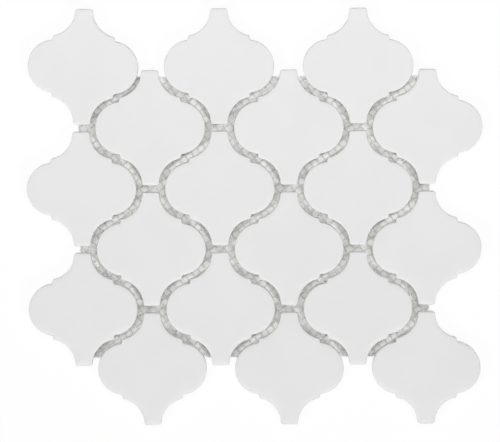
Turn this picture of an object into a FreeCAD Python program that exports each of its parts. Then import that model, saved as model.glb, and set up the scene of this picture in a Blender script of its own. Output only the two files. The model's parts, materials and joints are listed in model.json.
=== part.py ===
import FreeCAD
import Part
import Sketcher
import math
import os

# A mosaic sheet of eighteen arabesque tiles on a mesh backing, lying face up.
# Millimetres. +X runs along the rows of tiles, +Y to the top row, +Z up.
# The origin is under the middle of the sheet, at the underside of the mesh.

SIZES = [
    # One tile, seen from above
    ("tile_width", 65.5, "bulge to bulge"),
    ("tile_height", 68.6, "tip to tip"),
    ("tile_thickness", 6.0, "back to face"),
    ("tip_width", 10.2, "across the flat end of a tip"),
    ("neck_drop", 0.5, "neck arc's centre below the tip's end"),
    ("shoulder_step", 2.2, "bulge's crest up to the neck's trough"),
    ("step_run", 0.5, "lean of the step, foot to top"),
    ("tip_round", 1.4, "corners of the tips"),
    ("step_round", 0.6, "foot and top of the steps"),
    ("edge_round", 0.65, "rim of the face"),
    # How the tiles lie beside each other
    ("joint_sides", 3.5, "tip to the bulge beside it"),
    ("joint_ends", 4.3, "tip to tip"),
    ("joint_steps", 5.15, "between the tops of two steps that face each other"),
    ("corner_turn", 1.9, "clockwise turn of the tile laid askew, degrees"),
    ("corner_shift", 1.8, "that tile's slip to the right"),
    # The mesh that the tiles are glued to
    ("mesh_reach", 1.7, "past the middles of the outer columns"),
    ("mesh_setback", 6.2, "short of the middles of the outer rows"),
    ("mesh_thickness", 0.5, "one layer of yarn"),
    ("mesh_pitch", 4.2, "yarn to yarn, both ways"),
    ("yarn_width", 0.8, "across one yarn"),
    ("mesh_turn", 35.0, "yarns against the rows of tiles, degrees"),
]

# The tiles stand in a staggered pattern: odd columns lie one row lower.
COLUMNS = 6
ROWS = 6
ASKEW_TILE = (0, 0)

# The mesh is one sheet, held in panels that meet edge to edge.
PANEL_COLUMNS = 4
PANEL_ROWS = 3

# Derived sizes of a tile, as expressions on the sheet
LOBE_RADIUS = "((Sizes.tile_height / 2 - Sizes.neck_drop - Sizes.shoulder_step) / 2)"
BULGE_CENTRE = "(Sizes.tile_width / 2 - %s)" % LOBE_RADIUS
NECK_CENTRE_X = "(Sizes.tip_width / 2 + %s)" % LOBE_RADIUS
NECK_CENTRE_Y = "(Sizes.tile_height / 2 - Sizes.neck_drop)"
COLUMN_SPACING = "(Sizes.tile_width / 2 + Sizes.joint_sides + Sizes.tip_width / 2)"
ROW_SPACING = "((Sizes.tile_height + Sizes.joint_ends) / 2)"
STEP_TOP = "((%s - Sizes.joint_steps) / 2)" % COLUMN_SPACING
STEP_FOOT = "(%s + Sizes.step_run)" % STEP_TOP

FLAT = 1e-6
UP = FreeCAD.Vector(0, 0, 1)
DOWN = FreeCAD.Vector(0, 0, -1)


def make_sheet(doc):
    """The spreadsheet of driving sizes, one alias to a row."""
    sheet = doc.addObject("Spreadsheet::Sheet", "Sizes")
    for row, (alias, value, note) in enumerate(SIZES, start=1):
        sheet.set("A%d" % row, alias)
        sheet.set("B%d" % row, str(value))
        sheet.set("C%d" % row, note)
        sheet.setAlias("B%d" % row, alias)
    doc.recompute()
    return sheet


def origin_plane(body, role):
    """One of a body's own origin planes."""
    return next(plane for plane in body.Origin.OriginFeatures if plane.Role == role)


def bind(sketch, index, name, expression):
    """Name a constraint of a sketch and tie its value to the sheet."""
    sketch.renameConstraint(index, name)
    sketch.setExpression("Constraints." + name, expression)


def column_spacing(sheet):
    return sheet.tile_width / 2 + sheet.joint_sides + sheet.tip_width / 2


def row_spacing(sheet):
    return (sheet.tile_height + sheet.joint_ends) / 2


def start_points(sheet):
    """Corners and arc centres of a quarter of a tile, where its sketch starts from."""
    half_width = sheet.tile_width / 2
    half_height = sheet.tile_height / 2
    radius = (half_height - sheet.neck_drop - sheet.shoulder_step) / 2
    bulge = FreeCAD.Vector(half_width - radius, 0, 0)
    neck = FreeCAD.Vector(sheet.tip_width / 2 + radius, half_height - sheet.neck_drop, 0)
    top_x = (column_spacing(sheet) - sheet.joint_steps) / 2
    foot_x = top_x + sheet.step_run
    return {
        "radius": radius,
        "bulge": bulge,
        "neck": neck,
        "middle": FreeCAD.Vector(0, 0, 0),
        "tip_middle": FreeCAD.Vector(0, half_height, 0),
        "tip_corner": FreeCAD.Vector(neck.x - math.sqrt(radius**2 - sheet.neck_drop**2), half_height, 0),
        "step_top": FreeCAD.Vector(top_x, neck.y - math.sqrt(radius**2 - (neck.x - top_x) ** 2), 0),
        "step_foot": FreeCAD.Vector(foot_x, math.sqrt(radius**2 - (foot_x - bulge.x) ** 2), 0),
        "bulge_end": FreeCAD.Vector(half_width, 0, 0),
    }


def arc_about(centre, radius, first, last):
    """An arc from one point round to another, counterclockwise."""
    angles = [math.atan2(point.y - centre.y, point.x - centre.x) for point in (first, last)]
    return Part.ArcOfCircle(Part.Circle(centre, UP, radius), angles[0], angles[1])


def draw_quarter(body, sheet):
    """A quarter of the outline: half a tip, the neck, the step and half a bulge."""
    sketch = body.newObject("Sketcher::SketchObject", "quarter_outline")
    sketch.AttachmentSupport = [(origin_plane(body, "XY_Plane"), "")]
    sketch.MapMode = "FlatFace"
    at = start_points(sheet)
    centre_line = sketch.addGeometry(Part.LineSegment(at["middle"], at["tip_middle"]), False)
    tip = sketch.addGeometry(Part.LineSegment(at["tip_middle"], at["tip_corner"]), False)
    neck = sketch.addGeometry(arc_about(at["neck"], at["radius"], at["tip_corner"], at["step_top"]), False)
    step = sketch.addGeometry(Part.LineSegment(at["step_top"], at["step_foot"]), False)
    bulge = sketch.addGeometry(arc_about(at["bulge"], at["radius"], at["bulge_end"], at["step_foot"]), False)
    waist = sketch.addGeometry(Part.LineSegment(at["bulge_end"], at["middle"]), False)

    origin, x_axis, start, end, centre = (-1, 1), -1, 1, 2, 3
    joins = [
        (centre_line, end, tip, start),
        (tip, end, neck, start),
        (neck, end, step, start),
        (step, end, bulge, end),
        (bulge, start, waist, start),
        (waist, end, centre_line, start),
    ]
    for first, first_end, second, second_end in joins:
        sketch.addConstraint(Sketcher.Constraint("Coincident", first, first_end, second, second_end))
    sketch.addConstraint(Sketcher.Constraint("Coincident", centre_line, start, *origin))
    sketch.addConstraint(Sketcher.Constraint("Vertical", centre_line))
    sketch.addConstraint(Sketcher.Constraint("Horizontal", tip))
    sketch.addConstraint(Sketcher.Constraint("Horizontal", waist))
    sketch.addConstraint(Sketcher.Constraint("PointOnObject", bulge, centre, x_axis))
    sketch.addConstraint(Sketcher.Constraint("Equal", neck, bulge))

    sizes = [
        ("half_height", "DistanceY", (*origin, centre_line, end), "Sizes.tile_height / 2"),
        ("half_width", "DistanceX", (*origin, bulge, start), "Sizes.tile_width / 2"),
        ("lobe_radius", "Radius", (bulge,), LOBE_RADIUS),
        ("neck_centre_x", "DistanceX", (*origin, neck, centre), NECK_CENTRE_X),
        ("neck_centre_y", "DistanceY", (*origin, neck, centre), NECK_CENTRE_Y),
        ("step_top", "DistanceX", (*origin, step, start), STEP_TOP),
        ("step_foot", "DistanceX", (*origin, step, end), STEP_FOOT),
    ]
    first_values = {
        "half_height": at["tip_middle"].y,
        "half_width": at["bulge_end"].x,
        "lobe_radius": at["radius"],
        "neck_centre_x": at["neck"].x,
        "neck_centre_y": at["neck"].y,
        "step_top": at["step_top"].x,
        "step_foot": at["step_foot"].x,
    }
    for name, kind, places, expression in sizes:
        index = sketch.addConstraint(Sketcher.Constraint(kind, *places, first_values[name]))
        bind(sketch, index, name, expression)
    return sketch


def edge_names(shape, wanted):
    """The names of the edges of a shape that pass a test."""
    return ["Edge%d" % number for number, edge in enumerate(shape.Edges, start=1) if wanted(edge)]


def is_upright(edge):
    return edge.BoundBox.ZLength > FLAT and edge.BoundBox.XLength < FLAT and edge.BoundBox.YLength < FLAT


def round_edges(body, base, name, wanted, radius):
    """Round the edges of a feature that pass a test."""
    fillet = body.newObject("PartDesign::Fillet", name)
    fillet.Base = (base, edge_names(base.Shape, wanted))
    fillet.setExpression("Radius", radius)
    body.Document.recompute()
    return fillet


def make_tile(doc, sheet, label):
    """One tile: a padded quarter mirrored both ways, with its corners and face edge rounded."""
    body = doc.addObject("PartDesign::Body", label)
    body.Label = label
    pad = body.newObject("PartDesign::Pad", "quarter")
    pad.Profile = draw_quarter(body, sheet)
    pad.setExpression("Length", "Sizes.tile_thickness")
    doc.recompute()

    whole = body.newObject("PartDesign::MultiTransform", "four_quarters")
    whole.Originals = [pad]
    mirrors = []
    for name, role in (("left_half", "YZ_Plane"), ("lower_half", "XZ_Plane")):
        mirror = body.newObject("PartDesign::Mirrored", name)
        mirror.MirrorPlane = (origin_plane(body, role), [""])
        mirrors.append(mirror)
    whole.Transformations = mirrors
    whole.Refine = True
    body.Tip = whole
    doc.recompute()

    tip_end = sheet.tile_height / 2

    def at_tip(edge):
        return is_upright(edge) and abs(abs(edge.CenterOfMass.y) - tip_end) < FLAT

    def at_step(edge):
        return is_upright(edge) and not at_tip(edge)

    def at_face(edge):
        return edge.BoundBox.ZMin > sheet.tile_thickness - FLAT

    tips = round_edges(body, whole, "tip_corners", at_tip, "Sizes.tip_round")
    steps = round_edges(body, tips, "step_corners", at_step, "Sizes.step_round")
    body.Tip = round_edges(body, steps, "face_rim", at_face, "Sizes.edge_round")
    return body


def place_tile(body, column, row):
    """Put a tile on the mesh at its place in the staggered pattern."""
    across = "%.1f * %s" % (column - (COLUMNS - 1) / 2, COLUMN_SPACING)
    if (row, column) == ASKEW_TILE:
        body.Placement.Rotation = FreeCAD.Rotation(DOWN, body.Document.Sizes.corner_turn)
        across += " + Sizes.corner_shift"
    body.setExpression(".Placement.Base.x", across)
    body.setExpression(".Placement.Base.y", "%.1f * %s" % ((ROWS - 1) / 2 - row, ROW_SPACING))
    body.setExpression(".Placement.Base.z", "Sizes.mesh_thickness")


def make_tiles(doc, sheet):
    tiles = []
    for row in range(ROWS):
        for column in range(row % 2, COLUMNS, 2):
            tile = make_tile(doc, sheet, "tile_row%d_col%d" % (row + 1, column + 1))
            place_tile(tile, column, row)
            tiles.append(tile)
    doc.recompute()
    return tiles


def mesh_openings(sheet, low, high):
    """The square openings between the yarns that reach a rectangle, as flat faces."""
    turn = FreeCAD.Rotation(UP, sheet.mesh_turn)
    side = sheet.mesh_pitch - sheet.yarn_width
    square = Part.makePlane(side, side, FreeCAD.Vector(-side / 2, -side / 2, 0))
    furthest = max(abs(value) for value in (*low, *high))
    steps = math.ceil(furthest * math.sqrt(2) / sheet.mesh_pitch) + 1
    openings = []
    for along in range(-steps, steps):
        for across in range(-steps, steps):
            grid = FreeCAD.Vector(along + 0.5, across + 0.5, 0) * sheet.mesh_pitch
            centre = turn.multVec(grid)
            near_x = low[0] - side < centre.x < high[0] + side
            near_y = low[1] - side < centre.y < high[1] + side
            if near_x and near_y:
                opening = square.copy()
                opening.Placement = FreeCAD.Placement(centre, turn)
                openings.append(opening)
    return openings


def make_panel(doc, sheet, label, low, high):
    """One panel of the mesh: yarns both ways, fused where they cross and cut square at its edge."""
    corner = FreeCAD.Vector(low[0], low[1], 0)
    cloth = Part.makePlane(high[0] - low[0], high[1] - low[1], corner)
    yarns = cloth.cut(Part.makeCompound(mesh_openings(sheet, low, high)))
    # Snippets that the cut leaves loose at a corner fall away.
    held = max(yarns.Faces, key=lambda face: face.Area)
    panel = doc.addObject("Part::Feature", label)
    panel.Label = label
    panel.Shape = held.extrude(UP * sheet.mesh_thickness)
    panel.Placement = FreeCAD.Placement()
    return panel


def make_mesh(doc, sheet):
    length = (COLUMNS - 1) * column_spacing(sheet) + 2 * sheet.mesh_reach
    width = (ROWS - 1) * row_spacing(sheet) - 2 * sheet.mesh_setback
    panel_length = length / PANEL_COLUMNS
    panel_width = width / PANEL_ROWS
    panels = []
    for row in range(PANEL_ROWS):
        for column in range(PANEL_COLUMNS):
            low = (-length / 2 + column * panel_length, width / 2 - (row + 1) * panel_width)
            high = (low[0] + panel_length, low[1] + panel_width)
            label = "mesh_panel_row%d_col%d" % (row + 1, column + 1)
            panels.append(make_panel(doc, sheet, label, low, high))
    return panels


def check(doc, pieces):
    """Stop if any object failed or any piece is not one sound solid."""
    for thing in doc.Objects:
        if "Invalid" in thing.State or "Error" in thing.State:
            raise RuntimeError("%s failed: %s" % (thing.Label, thing.State))
    for piece in pieces:
        shape = piece.Shape
        if shape.isNull() or not shape.isValid() or len(shape.Solids) != 1:
            raise RuntimeError("%s is not one sound solid" % piece.Label)


def main():
    doc = FreeCAD.newDocument("arabesque_mosaic_sheet")
    sheet = make_sheet(doc)
    pieces = make_tiles(doc, sheet) + make_mesh(doc, sheet)
    doc.recompute()
    check(doc, pieces)
    os.makedirs("parts", exist_ok=True)
    for piece in pieces:
        piece.Shape.exportStep("parts/%s.step" % piece.Label)


main()
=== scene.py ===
import json
import math
import random
from typing import NamedTuple

import bpy
from bpy.props import FloatProperty, FloatVectorProperty, IntProperty, PointerProperty
from mathutils import Matrix, Vector


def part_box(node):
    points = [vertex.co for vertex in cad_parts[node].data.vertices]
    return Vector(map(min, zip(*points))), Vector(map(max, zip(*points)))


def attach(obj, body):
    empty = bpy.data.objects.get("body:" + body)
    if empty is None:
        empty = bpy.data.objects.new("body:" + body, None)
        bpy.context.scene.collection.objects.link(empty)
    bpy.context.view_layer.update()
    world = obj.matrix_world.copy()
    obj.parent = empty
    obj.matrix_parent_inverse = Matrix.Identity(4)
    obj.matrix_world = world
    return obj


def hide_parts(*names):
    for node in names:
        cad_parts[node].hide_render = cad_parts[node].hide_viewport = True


bl_info = {
    "name": "Arabesque Mosaic Sheet",
    "version": (1, 0, 0),
    "blender": (4, 5, 0),
    "location": "View3D > Sidebar > Mosaic",
    "description": "Glazed arabesque tiles on their mesh backing, in a plain studio",
    "category": "Object",
}

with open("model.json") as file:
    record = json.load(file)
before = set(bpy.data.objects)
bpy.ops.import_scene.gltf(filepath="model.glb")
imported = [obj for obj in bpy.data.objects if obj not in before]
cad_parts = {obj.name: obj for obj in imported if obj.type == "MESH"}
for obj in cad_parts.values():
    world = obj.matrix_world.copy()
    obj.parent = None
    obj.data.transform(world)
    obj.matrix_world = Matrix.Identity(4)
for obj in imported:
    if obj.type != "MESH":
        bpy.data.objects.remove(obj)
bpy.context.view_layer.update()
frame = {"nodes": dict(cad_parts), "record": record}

MM = 0.001
TILE_NODES = sorted(name for name in frame["nodes"] if name.startswith("tile_"))
MESH_NODES = sorted(name for name in frame["nodes"] if name.startswith("mesh_panel_"))
SLOT_COLOURS = {row["slot"]: row["base_color"] for row in frame["record"]["materials"]}

# Two straight tiles side by side, one row apart, and the tile that was laid askew
STRAIGHT_TILE = "tile_row1_col3"
NEXT_TILE = "tile_row2_col4"
ASKEW_TILE = "tile_row1_col1"

# The tightest rounding that an outward corner is drawn with
LEAST_ROUND = 0.1 * MM

# Straight steps that draw each round stretch of a quarter of the outline
TIP_STEPS = 6
NECK_STEPS = 16
CORNER_STEPS = 4
BULGE_STEPS = 18

# Where a tile has a ring of points, as parts of the way along each stretch of its section
BACK_RINGS = (0.0, 0.33, 0.67, 1.0)
WALL_RINGS = (0.33, 0.67)
RIM_RINGS = (0.0, 0.14, 0.28, 0.42, 0.56, 0.7, 0.85, 1.0)
PILLOW_RINGS = (0.15, 0.35, 0.6, 1.0)

# Rings of the flat of the face, as parts of the way out from its middle
FACE_RINGS = (0.7, 0.35)

# Grain of each pattern in a tile, in waves to a metre
CLAY_LINE_GRAIN = 120.0
POOL_GRAIN = 45.0
SHEEN_GRAIN = 160.0
RIPPLE_GRAIN = 60.0
SPECKLE_GRAIN = 2600.0
CLAY_GRAIN = 1800.0

# The stretch of each pattern's noise over which one look gives way to the other
POOL_RANGE = (0.35, 0.7)
SPECKLE_RANGE = (0.35, 0.75)
SHEEN_RANGE = (0.3, 0.7)
FILAMENT_RANGE = (0.4, 0.65)

# How far below and above its line the glaze thins out to bare clay
GLAZE_EDGE = (-0.1 * MM, 0.15 * MM)

# Finish of the glaze and of the clay
GLAZE_ROUGHNESS = (0.17, 0.24)
RIPPLE_HEIGHT = 0.02 * MM
CLAY_ROUGHNESS = 0.85
CLAY_RELIEF = 0.08 * MM
SPECK_TONE = 0.92

# Grain of the filaments: in waves to a metre along a yarn, to a turn round it, and from yarn to yarn
ALONG_GRAIN = 160.0
AROUND_GRAIN = 26.0
STRAND_GRAIN = 5.3

# Finish of the yarn, from the gaps between its filaments to their crests
YARN_ROUGHNESS = (0.75, 0.55)
FILAMENT_HEIGHT = 0.06 * MM

# How finely a yarn is drawn, and the fewest points that still make a yarn
POINTS_TO_PITCH = 4
YARN_SIDES = 6
LEAST_POINTS = 2

# Waves to a metre in how the yarns stray, and a shift that tells the filaments of the two families apart
STRAY_GRAIN = 28.0
FAMILY_SHIFT = 0.37

# The floor: half its side, its drop below the mesh, and the strip that blends its two shades
FLOOR_HALF = 5.0
FLOOR_DROP = 0.02 * MM
FLOOR_EDGE = (-0.6 * MM, 0.6 * MM)

# The farthest that the camera sees
FAR_END = 100.0


class LampStand(NamedTuple):
    """Where a lamp stands round the sheet, in degrees and metres, its size, and if the glaze mirrors it."""

    bearing: float
    elevation: float
    reach: float
    width: float
    depth: float
    mirrored: bool = False


OVERHEAD_LAMP = LampStand(bearing=87.0, elevation=68.0, reach=0.75, width=1.15, depth=0.3)
FRONT_LAMP = LampStand(bearing=270.0, elevation=66.0, reach=2.0, width=1.2, depth=0.45, mirrored=True)
LEFT_LAMP = LampStand(bearing=207.0, elevation=37.0, reach=7.0, width=2.6, depth=2.1)
RIGHT_LAMP = LampStand(bearing=315.0, elevation=35.0, reach=7.0, width=2.1, depth=2.1)


def middle(node):
    """Middle of a CAD node's box."""
    low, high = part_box(node)
    return (low + high) / 2


def size(node):
    """Size of a CAD node's box."""
    low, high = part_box(node)
    return high - low


def mesh_corners():
    """Lowest and highest corner of the whole mesh backing."""
    boxes = [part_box(node) for node in MESH_NODES]
    low = Vector(min(box[0][axis] for box in boxes) for axis in range(3))
    high = Vector(max(box[1][axis] for box in boxes) for axis in range(3))
    return low, high


TILE_SIZE = size(STRAIGHT_TILE)
COLUMN_SPACING = middle(NEXT_TILE).x - middle(STRAIGHT_TILE).x
MESH_LOW, MESH_HIGH = mesh_corners()
MESH_SIZE = MESH_HIGH - MESH_LOW


def length(name, description, millimetres):
    """A size that a user can change, given in millimetres and kept in metres."""
    return FloatProperty(
        name=name,
        description=description,
        default=millimetres * MM,
        min=0.0,
        unit="LENGTH",
        subtype="DISTANCE",
    )


def angle(name, description, degrees):
    """A turn that a user can change, given in degrees and kept in radians."""
    turn = math.radians(degrees)
    return FloatProperty(name=name, description=description, default=turn, subtype="ANGLE")


def share(name, description, part):
    """A part of a whole that a user can change."""
    return FloatProperty(
        name=name, description=description, default=part, min=0.0, max=1.0, subtype="FACTOR"
    )


def colour(name, description, red, green, blue):
    """A colour that a user can change."""
    return FloatVectorProperty(
        name=name, description=description, default=(red, green, blue), min=0.0, max=1.0, subtype="COLOR"
    )


class TileShape(bpy.types.PropertyGroup):
    """Sizes of one tile"""

    width: length("Width", "Bulge to bulge", TILE_SIZE.x / MM)
    height: length("Height", "Tip to tip", TILE_SIZE.y / MM)
    thickness: length("Thickness", "Back to face", TILE_SIZE.z / MM)
    tip_width: length("Tip Width", "Across the flat end of a tip", 10.2)
    neck_drop: length("Neck Drop", "Neck arc's centre below the tip's end", 0.5)
    shoulder_step: length("Shoulder Step", "Bulge's crest up to the neck's trough", 2.2)
    step_run: length("Step Run", "Lean of the step, foot to top", 0.5)
    joint_steps: length("Joint at Steps", "Between the tops of two steps that face each other", 5.15)
    tip_round: length("Tip Round", "Corners of the tips", 1.4)
    step_round: length("Step Round", "Foot and top of the steps", 0.6)
    rim_round: length("Rim Round", "Edge of the face", 0.65)
    square_in: length("Square In", "How far in from the wall the face still follows it", 2.0)
    pillow_run: length("Pillow Run", "How far in from the rim the glaze still slopes", 3.0)
    pillow_drop: length("Pillow Drop", "How far the glaze falls towards the rim", 0.2)
    back_round: length("Back Round", "Edge of the back", 0.3)
    askew_turn: angle("Askew Turn", "Clockwise turn of the tile laid askew", 1.9)


class GlazeFinish(bpy.types.PropertyGroup):
    """Colours of the glaze and of the bare clay under it"""

    glaze: colour("Glaze", "Plain white glaze", *SLOT_COLOURS["white_glaze"])
    shade: colour("Glaze Shade", "Glaze where it pools a little thicker", 0.795, 0.797, 0.795)
    clay: colour("Bare Clay", "Fired body at the foot of the walls and on the back", 0.80, 0.785, 0.755)
    clay_line: length("Clay Line", "Bare clay up the walls from the back", 0.7)
    clay_wander: length("Clay Wander", "How far the edge of the glaze wanders", 0.6)
    tone_spread: share("Tone Spread", "Difference in tone between tiles", 0.004)
    seed: IntProperty(name="Seed", description="Picks the tone of each tile", default=7)


class MeshSizes(bpy.types.PropertyGroup):
    """Sizes and colours of the mesh backing"""

    width: length("Width", "Along the rows of tiles", MESH_SIZE.x / MM)
    depth: length("Depth", "Across the rows of tiles", MESH_SIZE.y / MM)
    thickness: length("Thickness", "Two yarns where they cross", MESH_SIZE.z / MM)
    pitch: length("Pitch", "Yarn to yarn", 4.2)
    yarn_width: length("Yarn Width", "Across one yarn", 0.8)
    yarn_thickness: length("Yarn Thickness", "Through one yarn", 0.24)
    turn: angle("Turn", "Yarns against the rows of tiles", 35.0)
    drift: length("Drift", "How far the yarns stray from straight", 0.5)
    seed: FloatProperty(name="Seed", description="Picks how the yarns stray", default=3.0)
    yarn: colour("Yarn", "Glass yarn stiffened with size", *SLOT_COLOURS["mesh_yarn"])
    filament: colour("Filament", "Darker lines between the filaments", 0.81, 0.81, 0.79)


class StudioSettings(bpy.types.PropertyGroup):
    """Camera, lamps and floor"""

    camera_lean: angle("Camera Lean", "Camera towards the top row from straight above", 6.4)
    camera_roll: angle("Camera Roll", "Sheet's counterclockwise turn in the picture", 0.287)
    camera_reach: length("Camera Reach", "Camera to the sheet", 1233.0)
    lens: FloatProperty(name="Lens", description="Focal length", default=147.5, unit="CAMERA")
    aim: FloatVectorProperty(
        name="Aim", description="Middle of the picture", default=(-2.72 * MM, -2.0 * MM, 0.0), subtype="XYZ"
    )
    overhead_share: share("Overhead Light", "Wide lamp above the top row, as a part of white", 0.58)
    front_share: share("Front Light", "Lamp that shows in the glaze, as a part of white", 0.06)
    left_share: share("Left Light", "Low lamp at the left, as a part of white", 0.24)
    right_share: share("Right Light", "Low lamp at the right, as a part of white", 0.25)
    sky_share: share("Room Light", "Light from all round, as a part of white", 0.03)
    floor: colour("Floor", "Pale floor", 0.97, 0.97, 0.97)
    under: colour("Floor Under", "Pale floor under the mesh", 0.98, 0.98, 0.965)
    floor_white: share("White Floor", "How far the open floor is lifted to white", 0.92)


def node(tree, kind, inputs=None, **settings):
    """A new node of a tree, with its settings made and its inputs set or linked."""
    made = tree.nodes.new(kind)
    for name, value in settings.items():
        setattr(made, name, value)
    for key, value in (inputs or {}).items():
        if isinstance(value, bpy.types.NodeSocket):
            tree.links.new(value, made.inputs[key])
        else:
            made.inputs[key].default_value = value
    return made


def calc(tree, operation, *values):
    """The result of a Math node."""
    return node(tree, "ShaderNodeMath", dict(enumerate(values)), operation=operation).outputs[0]


def vector_calc(tree, operation, inputs):
    """The result of a Vector Math node that gives a vector."""
    return node(tree, "ShaderNodeVectorMath", inputs, operation=operation).outputs[0]


def ramp(tree, value, from_low, from_high, to_low=0.0, to_high=1.0):
    """A value carried smoothly from one range to another and held at its ends."""
    ends = {"From Min": from_low, "From Max": from_high, "To Min": to_low, "To Max": to_high}
    made = node(tree, "ShaderNodeMapRange", {"Value": value, **ends}, interpolation_type="SMOOTHSTEP")
    return made.outputs["Result"]


def blend_numbers(tree, part, first, second):
    """A number between two others."""
    return node(tree, "ShaderNodeMix", {0: part, 2: first, 3: second}).outputs[0]


def blend_colours(tree, part, first, second):
    """A colour between two others."""
    # A Mix node takes its numbers at sockets 2 and 3, and its colours at sockets 6 and 7.
    colours = {
        key: value if isinstance(value, bpy.types.NodeSocket) else (*value, 1.0)
        for key, value in ((6, first), (7, second))
    }
    return node(tree, "ShaderNodeMix", {0: part, **colours}, data_type="RGBA").outputs[2]


def noise(tree, place, scale, detail=2.0):
    """The grey of a noise texture."""
    inputs = {"Vector": place, "Scale": scale, "Detail": detail}
    return node(tree, "ShaderNodeTexNoise", inputs).outputs["Fac"]


def attribute(tree, name):
    """A value that the points of a piece keep under a name."""
    return node(tree, "ShaderNodeAttribute", attribute_name=name).outputs["Fac"]


def new_material(name):
    """An empty node material with its output."""
    material = bpy.data.materials.new(name)
    material.use_nodes = True
    tree = material.node_tree
    tree.nodes.clear()
    return material, tree, node(tree, "ShaderNodeOutputMaterial")


def cover(tree, output, base, rough, relief):
    """A surface with a colour, a roughness and a relief, the relief in metres."""
    bump = node(tree, "ShaderNodeBump", {"Height": relief, "Distance": 1.0, "Strength": 1.0}).outputs[0]
    looks = {"Base Color": base, "Roughness": rough, "Normal": bump}
    surface = node(tree, "ShaderNodeBsdfPrincipled", looks)
    tree.links.new(surface.outputs[0], output.inputs["Surface"])


def glazed_clay(finish):
    """White glaze that runs over the rim and most of the way down the walls of a pale clay body."""
    material, tree, output = new_material("white_glaze")
    place = node(tree, "ShaderNodeTexCoord").outputs["Object"]
    height = node(tree, "ShaderNodeSeparateXYZ", {0: place}).outputs["Z"]

    # The glaze ends a little above the back, along a line that wanders.
    wander = calc(tree, "MULTIPLY", noise(tree, place, CLAY_LINE_GRAIN, detail=3.0), finish.clay_wander)
    line = calc(tree, "ADD", wander, MESH_SIZE.z + finish.clay_line - finish.clay_wander / 2)
    above = calc(tree, "SUBTRACT", height, line)
    glazed = ramp(tree, above, *GLAZE_EDGE)

    # Colour of the glaze, of the clay and of the two together
    pooled = ramp(tree, noise(tree, place, POOL_GRAIN), *POOL_RANGE)
    glaze = blend_colours(tree, pooled, finish.glaze, finish.shade)
    tone = calc(tree, "ADD", attribute(tree, "tone"), 1.0)
    glaze = vector_calc(tree, "SCALE", {0: glaze, "Scale": tone})
    speckle = ramp(tree, noise(tree, place, SPECKLE_GRAIN), *SPECKLE_RANGE)
    clay = blend_colours(tree, speckle, finish.clay, [part * SPECK_TONE for part in finish.clay])
    base = blend_colours(tree, glazed, clay, glaze)

    # Roughness and relief of the two together
    sheen = ramp(tree, noise(tree, place, SHEEN_GRAIN), *SHEEN_RANGE, *GLAZE_ROUGHNESS)
    rough = blend_numbers(tree, glazed, CLAY_ROUGHNESS, sheen)
    ripple = calc(tree, "MULTIPLY", noise(tree, place, RIPPLE_GRAIN, detail=1.0), RIPPLE_HEIGHT)
    grain = calc(tree, "MULTIPLY", noise(tree, place, CLAY_GRAIN, detail=4.0), CLAY_RELIEF)
    relief = blend_numbers(tree, glazed, grain, ripple)
    cover(tree, output, base, rough, relief)
    return material


def sized_yarn(mesh):
    """Flat glass yarn: fine lines along its filaments, and a dull skin of size."""
    material, tree, output = new_material("mesh_yarn")
    streak = node(
        tree,
        "ShaderNodeCombineXYZ",
        {
            "X": calc(tree, "MULTIPLY", attribute(tree, "along"), ALONG_GRAIN),
            "Y": calc(tree, "MULTIPLY", attribute(tree, "around"), AROUND_GRAIN),
            "Z": calc(tree, "MULTIPLY", attribute(tree, "strand"), STRAND_GRAIN),
        },
    ).outputs[0]
    filaments = noise(tree, streak, scale=1.0, detail=3.0)
    base = blend_colours(tree, ramp(tree, filaments, *FILAMENT_RANGE), mesh.filament, mesh.yarn)
    rough = ramp(tree, filaments, *SHEEN_RANGE, *YARN_ROUGHNESS)
    relief = calc(tree, "MULTIPLY", filaments, FILAMENT_HEIGHT)
    cover(tree, output, base, rough, relief)
    return material


def seen_directly(tree):
    """One for a ray from the camera or off a shiny or clear surface, and nothing for light that falls."""
    path = node(tree, "ShaderNodeLightPath").outputs
    mirrored = calc(tree, "MAXIMUM", path["Is Glossy Ray"], path["Is Transmission Ray"])
    return calc(tree, "MAXIMUM", path["Is Camera Ray"], mirrored)


def pale_floor(studio):
    """Pale paper that reads white past the mesh and keeps a little of the sheet's shadow."""
    material, tree, output = new_material("pale_floor")
    place = node(tree, "ShaderNodeTexCoord").outputs["Object"]
    sides = node(tree, "ShaderNodeSeparateXYZ", {0: place}).outputs
    past_x = calc(tree, "SUBTRACT", calc(tree, "ABSOLUTE", sides["X"]), MESH_SIZE.x / 2)
    past_y = calc(tree, "SUBTRACT", calc(tree, "ABSOLUTE", sides["Y"]), MESH_SIZE.y / 2)
    outside = ramp(tree, calc(tree, "MAXIMUM", past_x, past_y), *FLOOR_EDGE)
    part = calc(tree, "MULTIPLY", calc(tree, "MULTIPLY", outside, studio.floor_white), seen_directly(tree))
    tint = blend_colours(tree, outside, studio.under, studio.floor)
    paper = node(tree, "ShaderNodeBsdfDiffuse", {"Color": tint})
    white = node(tree, "ShaderNodeEmission", {"Strength": 1.0})
    mixed = node(tree, "ShaderNodeMixShader", {0: part, 1: paper.outputs[0], 2: white.outputs[0]})
    tree.links.new(mixed.outputs[0], output.inputs["Surface"])
    return material


def arc(centre, first, last, steps):
    """Points round a centre from one place to another, the short way."""
    begin = math.atan2(first.y - centre.y, first.x - centre.x)
    end = math.atan2(last.y - centre.y, last.x - centre.x)
    sweep = math.remainder(end - begin, math.tau)
    radius = (first - centre).length
    turns = [begin + sweep * step / steps for step in range(steps + 1)]
    return [centre + Vector((math.cos(turned), math.sin(turned))) * radius for turned in turns]


def rounding_centre(corner, along, aside, circle, reach):
    """The middle of a rounding: beside a straight edge, and at a reach from the middle of an arc."""
    start = corner + aside
    leg = (start - circle).dot(along)
    root = math.sqrt(leg**2 - (start - circle).length_squared + reach**2)
    return start + along * min(root - leg, -root - leg, key=abs)


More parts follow.
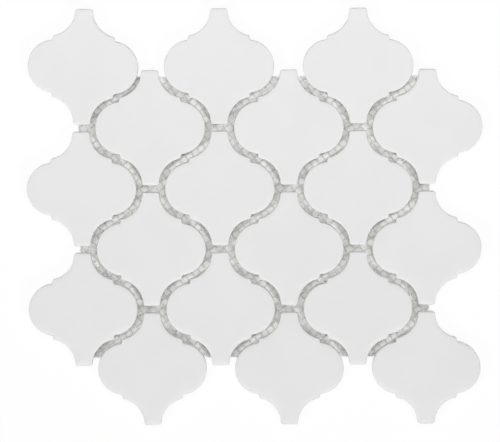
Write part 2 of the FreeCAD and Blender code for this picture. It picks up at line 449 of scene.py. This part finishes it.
def quarter_outline(tile, inset):
    """A quarter of the outline, in from the wall, from the middle of a tip round to the end of a bulge."""
    # The arcs of the neck and the bulge have one radius, and the sharp corners lie between them.
    half_width = tile.width / 2
    half_height = tile.height / 2
    radius = (half_height - tile.neck_drop - tile.shoulder_step) / 2
    bulge = Vector((half_width - radius, 0))
    neck = Vector((tile.tip_width / 2 + radius, half_height - tile.neck_drop))
    top_x = (COLUMN_SPACING - tile.joint_steps) / 2
    foot_x = top_x + tile.step_run
    tip = Vector((neck.x - math.sqrt(radius**2 - tile.neck_drop**2), half_height))
    top = Vector((top_x, neck.y - math.sqrt(radius**2 - (neck.x - top_x) ** 2)))
    foot = Vector((foot_x, math.sqrt(radius**2 - (foot_x - bulge.x) ** 2)))

    up = Vector((0, 1))
    right = Vector((1, 0))
    down_step = (foot - top).normalized()
    off_step = Vector((-down_step.y, down_step.x))

    # Outward corners tighten as the outline draws in, and the inward corner at the step's foot widens.
    tip_back = max(tile.tip_round, inset + LEAST_ROUND)
    top_back = max(tile.step_round, inset + LEAST_ROUND)
    tip_middle = rounding_centre(tip, right, -up * tip_back, neck, radius + tip_back)
    top_middle = rounding_centre(top, down_step, -off_step * top_back, neck, radius + top_back)
    foot_out = tile.step_round
    foot_middle = rounding_centre(foot, down_step, off_step * foot_out, bulge, radius + foot_out)
    tip_round = tip_back - inset
    top_round = top_back - inset
    foot_round = foot_out + inset

    # Where each rounding begins and ends
    tip_end = tip_middle + up * tip_round
    neck_start = tip_middle + (neck - tip_middle).normalized() * tip_round
    neck_end = top_middle + (neck - top_middle).normalized() * top_round
    step_start = top_middle + off_step * top_round
    step_end = foot_middle - off_step * foot_round
    bulge_start = foot_middle + (bulge - foot_middle).normalized() * foot_round
    bulge_end = Vector((half_width - inset, 0))

    points = [Vector((0, half_height - inset))]
    points += arc(tip_middle, tip_end, neck_start, TIP_STEPS)
    points += arc(neck, neck_start, neck_end, NECK_STEPS)[1:]
    points += arc(top_middle, neck_end, step_start, CORNER_STEPS)[1:]
    points += arc(foot_middle, step_end, bulge_start, CORNER_STEPS)
    points += arc(bulge, bulge_start, bulge_end, BULGE_STEPS)[1:]
    return points


def tile_outline(tile, inset):
    """The whole outline, counterclockwise: drawn in square to the wall, then towards the middle."""
    square_in = min(inset, tile.square_in)
    quarter = quarter_outline(tile, square_in)
    around = []
    for flip in (Vector((1, 1)), Vector((1, -1)), Vector((-1, -1)), Vector((-1, 1))):
        side = [point * flip for point in quarter]
        if flip.x != flip.y:
            side.reverse()
        around += side[:-1]
    around.reverse()
    return [point - point.normalized() * (inset - square_in) for point in around]


def tile_section(tile):
    """Steps from the edge of the back, up the wall and over the rim: in from the wall, and up."""
    steps = []
    for part in BACK_RINGS:
        bend = part * math.pi / 2
        steps.append((tile.back_round * (1 - math.sin(bend)), tile.back_round * (1 - math.cos(bend))))

    # The pillow is a parabola, and the round of the rim runs on into its slope.
    slope = math.atan(2 * tile.pillow_drop / tile.pillow_run)
    rim_foot = tile.thickness - tile.pillow_drop - tile.rim_round * math.cos(slope)
    for part in WALL_RINGS:
        steps.append((0.0, tile.back_round + part * (rim_foot - tile.back_round)))
    for part in RIM_RINGS:
        bend = part * (math.pi / 2 - slope)
        steps.append((tile.rim_round * (1 - math.cos(bend)), rim_foot + tile.rim_round * math.sin(bend)))

    rim_inset, rim_top = steps[-1]
    for part in PILLOW_RINGS:
        rise = tile.pillow_drop * (1 - (1 - part) ** 2)
        steps.append((rim_inset + part * tile.pillow_run, rim_top + rise))
    return steps


def tile_mesh(name, tile, place):
    """A closed tile of rings: the middle of the back, the wall, the rim and the face."""
    section = tile_section(tile)
    rings = [[(*point, height) for point in tile_outline(tile, inset)] for inset, height in section]
    face = rings[-1]
    count = len(face)
    rings += [[(x * part, y * part, z) for x, y, z in face] for part in FACE_RINGS]
    back_middle = (0.0, 0.0, 0.0)
    face_middle = (0.0, 0.0, tile.thickness)
    vertices = [back_middle, *(vertex for ring in rings for vertex in ring), face_middle]
    last = len(vertices) - 1
    faces = []
    for here in range(count):
        following = (here + 1) % count
        faces.append((0, 1 + following, 1 + here))
        for ring in range(len(rings) - 1):
            low = 1 + ring * count
            high = low + count
            faces.append((low + here, low + following, high + following, high + here))
        faces.append((last, last - count + here, last - count + following))
    mesh = bpy.data.meshes.new(name)
    mesh.from_pydata([place @ Vector(vertex) for vertex in vertices], [], faces)
    mesh.shade_smooth()
    return mesh


class MOSAIC_OT_tiles(bpy.types.Operator):
    """Make the glazed tiles, one on each tile of the frame"""

    bl_idname = "mosaic.tiles"
    bl_label = "Make Glazed Tiles"

    def execute(self, context):
        tile = context.scene.mosaic_tile
        finish = context.scene.mosaic_glaze
        material = glazed_clay(finish)
        tones = random.Random(finish.seed)
        for cad_node in TILE_NODES:
            name = "glazed_" + cad_node
            turn = -tile.askew_turn if cad_node == ASKEW_TILE else 0.0
            foot = middle(cad_node)
            foot.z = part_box(cad_node)[0].z
            mesh = tile_mesh(name, tile, Matrix.Translation(foot) @ Matrix.Rotation(turn, 4, "Z"))
            mesh.materials.append(material)
            tone = tones.uniform(-finish.tone_spread / 2, finish.tone_spread / 2)
            tone_of_points = mesh.attributes.new("tone", "FLOAT", "POINT")
            tone_of_points.data.foreach_set("value", [tone] * len(mesh.vertices))
            piece = bpy.data.objects.new(name, mesh)
            context.scene.collection.objects.link(piece)
            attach(piece, "root")
            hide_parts(cad_node)
        return {"FINISHED"}


def mark(tree, shape, name, value):
    """A shape whose points keep a value under a name, for a material to read."""
    kept = {"Geometry": shape, "Name": name, "Value": value}
    return node(tree, "GeometryNodeStoreNamedAttribute", kept).outputs[0]


def lay_yarns(tree, given):
    """Straight yarns side by side, each with a point at every crossing and some between."""
    corner = node(tree, "ShaderNodeCombineXYZ", {"X": given["Width"], "Y": given["Depth"]}).outputs[0]
    across = node(tree, "ShaderNodeVectorMath", {0: corner}, operation="LENGTH").outputs["Value"]
    yarns = calc(tree, "CEIL", calc(tree, "DIVIDE", calc(tree, "MULTIPLY", across, 0.5), given["Pitch"]))
    reach = calc(tree, "MULTIPLY", yarns, given["Pitch"])
    back = calc(tree, "MULTIPLY", reach, -1.0)

    left = node(tree, "ShaderNodeCombineXYZ", {"X": back}).outputs[0]
    right = node(tree, "ShaderNodeCombineXYZ", {"X": reach}).outputs[0]
    straight = node(tree, "GeometryNodeCurvePrimitiveLine", {"Start": left, "End": right}).outputs[0]
    points = calc(tree, "ADD", calc(tree, "MULTIPLY", yarns, 2.0 * POINTS_TO_PITCH), 1.0)
    yarn = node(tree, "GeometryNodeResampleCurve", {"Curve": straight, "Count": points}).outputs[0]

    first = node(tree, "ShaderNodeCombineXYZ", {"Y": back}).outputs[0]
    step = node(tree, "ShaderNodeCombineXYZ", {"Y": given["Pitch"]}).outputs[0]
    count = calc(tree, "ADD", calc(tree, "MULTIPLY", yarns, 2.0), 1.0)
    row = {"Count": count, "Start Location": first, "Offset": step}
    places = node(tree, "GeometryNodeMeshLine", row).outputs[0]
    laid = node(tree, "GeometryNodeInstanceOnPoints", {"Points": places, "Instance": yarn}).outputs[0]
    return node(tree, "GeometryNodeRealizeInstances", {0: laid}).outputs[0]


def weave_yarns(tree, given, laid, sides):
    """Two families of yarns, each over every second yarn that it crosses and under the others."""
    strand = calc(tree, "DIVIDE", sides["Y"], given["Pitch"])
    waves = []
    for axis in ("X", "Y"):
        pitches = calc(tree, "DIVIDE", sides[axis], given["Pitch"])
        waves.append(calc(tree, "COSINE", calc(tree, "MULTIPLY", pitches, math.pi)))
    room = calc(tree, "SUBTRACT", given["Thickness"], given["Yarn Thickness"])
    half_room = calc(tree, "MULTIPLY", room, 0.5)
    rise = calc(tree, "MULTIPLY", calc(tree, "MULTIPLY", *waves), half_room)
    level = calc(tree, "MULTIPLY", given["Thickness"], 0.5)

    families = []
    for family, (sign, quarter_turn) in enumerate(((1.0, 0.0), (-1.0, math.pi / 2))):
        marked = mark(tree, laid, "along", sides["X"])
        marked = mark(tree, marked, "strand", calc(tree, "ADD", strand, family * FAMILY_SHIFT))
        lift = calc(tree, "ADD", calc(tree, "MULTIPLY", rise, sign), level)
        offset = node(tree, "ShaderNodeCombineXYZ", {"Z": lift}).outputs[0]
        woven = node(tree, "GeometryNodeSetPosition", {"Geometry": marked, "Offset": offset}).outputs[0]
        facing = calc(tree, "ADD", given["Turn"], quarter_turn)
        upright_turn = {"Axis": (0, 0, 1), "Angle": facing}
        turn = node(tree, "FunctionNodeAxisAngleToRotation", upright_turn).outputs[0]
        turned = {"Geometry": woven, "Rotation": turn}
        families.append(node(tree, "GeometryNodeTransform", turned).outputs[0])
    joined = node(tree, "GeometryNodeJoinGeometry")
    for yarns in reversed(families):
        tree.links.new(yarns, joined.inputs[0])
    return joined.outputs[0]


def stray_yarns(tree, given, woven, position):
    """Yarns that stray from straight together, so that they still cross where they should."""
    stray = node(
        tree,
        "ShaderNodeTexNoise",
        {"Vector": position, "W": given["Seed"], "Scale": STRAY_GRAIN, "Detail": 1.0},
        noise_dimensions="4D",
    ).outputs["Color"]
    either_way = vector_calc(tree, "SUBTRACT", {0: stray, 1: (0.5, 0.5, 0.5)})
    flat = vector_calc(tree, "MULTIPLY", {0: either_way, 1: (1.0, 1.0, 0.0)})
    drift = vector_calc(tree, "SCALE", {0: flat, "Scale": given["Drift"]})
    return node(tree, "GeometryNodeSetPosition", {"Geometry": woven, "Offset": drift}).outputs[0]


def cut_yarns(tree, given, strayed, sides):
    """Yarns cut to the rectangle, without a corner yarn that keeps a single point."""
    outside = []
    for axis, side in (("X", "Width"), ("Y", "Depth")):
        half = calc(tree, "MULTIPLY", given[side], 0.5)
        outside.append(calc(tree, "GREATER_THAN", calc(tree, "ABSOLUTE", sides[axis]), half))
    past = {"Geometry": strayed, "Selection": calc(tree, "MAXIMUM", *outside)}
    cut = node(tree, "GeometryNodeDeleteGeometry", past, domain="POINT").outputs[0]
    kept_points = node(tree, "GeometryNodeSplineLength").outputs["Point Count"]
    stubs = {"Geometry": cut, "Selection": calc(tree, "LESS_THAN", kept_points, LEAST_POINTS)}
    return node(tree, "GeometryNodeDeleteGeometry", stubs, domain="CURVE").outputs[0]


def yarn_section(tree, given):
    """The flat oval of one yarn."""
    one_wide = {"Resolution": YARN_SIDES, "Radius": 0.5}
    ring = node(tree, "GeometryNodeCurvePrimitiveCircle", one_wide).outputs[0]
    ring = mark(tree, ring, "around", node(tree, "GeometryNodeSplineParameter").outputs["Factor"])
    oval = {"X": given["Yarn Width"], "Y": given["Yarn Thickness"], "Z": 1.0}
    flatten = node(tree, "ShaderNodeCombineXYZ", oval).outputs[0]
    return node(tree, "GeometryNodeTransform", {"Geometry": ring, "Scale": flatten}).outputs[0]


def weave_tree(sizes):
    """A node tree that weaves flat yarns both ways and cuts them to a rectangle."""
    tree = bpy.data.node_groups.new("woven_mesh", "GeometryNodeTree")
    tree.interface.new_socket("Geometry", in_out="OUTPUT", socket_type="NodeSocketGeometry")
    for name in sizes:
        tree.interface.new_socket(name, in_out="INPUT", socket_type="NodeSocketFloat")
    tree.interface.new_socket("Material", in_out="INPUT", socket_type="NodeSocketMaterial")
    given = node(tree, "NodeGroupInput").outputs
    position = node(tree, "GeometryNodeInputPosition").outputs[0]
    sides = node(tree, "ShaderNodeSeparateXYZ", {0: position}).outputs

    laid = lay_yarns(tree, given)
    woven = weave_yarns(tree, given, laid, sides)
    strayed = stray_yarns(tree, given, woven, position)
    cut = cut_yarns(tree, given, strayed, sides)
    upright = node(tree, "GeometryNodeSetCurveNormal", {"Curve": cut}, mode="Z_UP").outputs[0]
    yarn = {"Curve": upright, "Profile Curve": yarn_section(tree, given), "Fill Caps": True}
    solid = node(tree, "GeometryNodeCurveToMesh", yarn).outputs[0]
    smooth = node(tree, "GeometryNodeSetShadeSmooth", {"Geometry": solid}).outputs[0]
    realized = node(tree, "GeometryNodeRealizeInstances", {0: smooth}).outputs[0]
    dressed = node(tree, "GeometryNodeSetMaterial", {"Geometry": realized, "Material": given["Material"]})
    node(tree, "NodeGroupOutput", {0: dressed.outputs[0]})
    return tree


def plain_piece(context, name, tree, values):
    """The mesh that a node tree gives for some values, as an object of its own with no modifier."""
    maker = bpy.data.objects.new(name + "_maker", bpy.data.meshes.new(name + "_maker"))
    context.scene.collection.objects.link(maker)
    modifier = maker.modifiers.new("weave", "NODES")
    modifier.node_group = tree
    for item in tree.interface.items_tree:
        if item.in_out == "INPUT":
            modifier[item.identifier] = values[item.name]
    evaluated = maker.evaluated_get(context.evaluated_depsgraph_get())
    mesh = bpy.data.meshes.new_from_object(evaluated)
    bpy.data.objects.remove(maker)
    mesh.name = name
    piece = bpy.data.objects.new(name, mesh)
    context.scene.collection.objects.link(piece)
    return piece


class MOSAIC_OT_mesh(bpy.types.Operator):
    """Make the mesh backing that the tiles are glued to"""

    bl_idname = "mosaic.mesh"
    bl_label = "Make Mesh Backing"

    def execute(self, context):
        sizes = context.scene.mosaic_mesh
        values = {
            "Width": sizes.width,
            "Depth": sizes.depth,
            "Thickness": sizes.thickness,
            "Pitch": sizes.pitch,
            "Yarn Width": sizes.yarn_width,
            "Yarn Thickness": sizes.yarn_thickness,
            "Turn": sizes.turn,
            "Drift": sizes.drift,
            "Seed": sizes.seed,
        }
        tree = weave_tree(values)
        piece = plain_piece(context, "mesh_backing", tree, {**values, "Material": sized_yarn(sizes)})
        if not piece.data.polygons:
            raise RuntimeError("the weave gave no yarns")
        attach(piece, "root")
        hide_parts(*MESH_NODES)
        return {"FINISHED"}


def soft_lamp(scene, name, stand, part):
    """A lamp aimed at the sheet: a small one lights it to a part of white, and a wide one to less."""
    bearing = math.radians(stand.bearing)
    elevation = math.radians(stand.elevation)
    side = stand.reach * math.cos(elevation)
    height = stand.reach * math.sin(elevation)
    place = Vector((side * math.cos(bearing), side * math.sin(bearing), height))
    lamp = bpy.data.lights.new(name, "AREA")
    lamp.shape = "RECTANGLE"
    lamp.size = stand.width
    lamp.size_y = stand.depth
    white_power = math.pi**2 * stand.reach**3 / height
    lamp.energy = part * white_power
    holder = bpy.data.objects.new(name, lamp)
    holder.location = place
    holder.rotation_mode = "QUATERNION"
    holder.rotation_quaternion = (-place).to_track_quat("-Z", "Y")
    holder.visible_camera = False
    holder.visible_glossy = stand.mirrored
    scene.collection.objects.link(holder)


class MOSAIC_OT_studio(bpy.types.Operator):
    """Set the floor, the lamps and the camera"""

    bl_idname = "mosaic.studio"
    bl_label = "Set Studio"

    def execute(self, context):
        scene = context.scene
        studio = scene.mosaic_studio
        scene.view_settings.view_transform = "Standard"
        self.lay_floor(scene, studio)
        self.light_room(scene, studio)
        soft_lamp(scene, "overhead_lamp", OVERHEAD_LAMP, studio.overhead_share)
        soft_lamp(scene, "front_lamp", FRONT_LAMP, studio.front_share)
        soft_lamp(scene, "left_lamp", LEFT_LAMP, studio.left_share)
        soft_lamp(scene, "right_lamp", RIGHT_LAMP, studio.right_share)
        self.place_camera(scene, studio)
        return {"FINISHED"}

    def lay_floor(self, scene, studio):
        """A wide floor just below the mesh."""
        signs = ((-1, -1), (1, -1), (1, 1), (-1, 1))
        corners = [(x * FLOOR_HALF, y * FLOOR_HALF, -FLOOR_DROP) for x, y in signs]
        mesh = bpy.data.meshes.new("floor")
        mesh.from_pydata(corners, [], [(0, 1, 2, 3)])
        mesh.materials.append(pale_floor(studio))
        floor = bpy.data.objects.new("floor", mesh)
        scene.collection.objects.link(floor)

    def light_room(self, scene, studio):
        """A white room that lights the sheet only a little."""
        scene.world = bpy.data.worlds.new("room")
        scene.world.use_nodes = True
        tree = scene.world.node_tree
        tree.nodes.clear()
        strength = blend_numbers(tree, seen_directly(tree), studio.sky_share, 1.0)
        white = (1.0, 1.0, 1.0, 1.0)
        light = node(tree, "ShaderNodeBackground", {"Color": white, "Strength": strength})
        node(tree, "ShaderNodeOutputWorld", {"Surface": light.outputs[0]})

    def place_camera(self, scene, studio):
        """A camera above the sheet that leans towards the top row."""
        camera = bpy.data.cameras.new("camera")
        camera.lens = studio.lens
        camera.clip_end = FAR_END
        holder = bpy.data.objects.new("camera", camera)
        lean = studio.camera_lean
        back = Vector((0.0, math.sin(lean), math.cos(lean)))
        aim = Vector(studio.aim)
        look = Matrix.Rotation(lean, 4, "X").inverted()
        roll = Matrix.Rotation(-studio.camera_roll, 4, "Z")
        holder.matrix_world = Matrix.Translation(aim + back * studio.camera_reach) @ look @ roll
        scene.collection.objects.link(holder)
        scene.camera = holder


SETTINGS = {
    "mosaic_tile": TileShape,
    "mosaic_glaze": GlazeFinish,
    "mosaic_mesh": MeshSizes,
    "mosaic_studio": StudioSettings,
}
OPERATORS = (MOSAIC_OT_tiles, MOSAIC_OT_mesh, MOSAIC_OT_studio)


class MOSAIC_PT_sheet(bpy.types.Panel):
    """Sizes, finishes and steps of the mosaic sheet"""

    bl_idname = "MOSAIC_PT_sheet"
    bl_label = "Mosaic Sheet"
    bl_space_type = "VIEW_3D"
    bl_region_type = "UI"
    bl_category = "Mosaic"

    def draw(self, context):
        for name, group in SETTINGS.items():
            box = self.layout.box()
            box.label(text=group.__doc__)
            for setting in group.__annotations__:
                box.prop(getattr(context.scene, name), setting)
        for operator in OPERATORS:
            self.layout.operator(operator.bl_idname)


CLASSES = (*SETTINGS.values(), *OPERATORS, MOSAIC_PT_sheet)


def register():
    for cls in CLASSES:
        bpy.utils.register_class(cls)
    for name, group in SETTINGS.items():
        setattr(bpy.types.Scene, name, PointerProperty(type=group))


def unregister():
    for name in SETTINGS:
        delattr(bpy.types.Scene, name)
    for cls in reversed(CLASSES):
        bpy.utils.unregister_class(cls)


def main():
    register()
    bpy.ops.mosaic.tiles()
    bpy.ops.mosaic.mesh()
    bpy.ops.mosaic.studio()


if __name__ == "__main__":
    main()
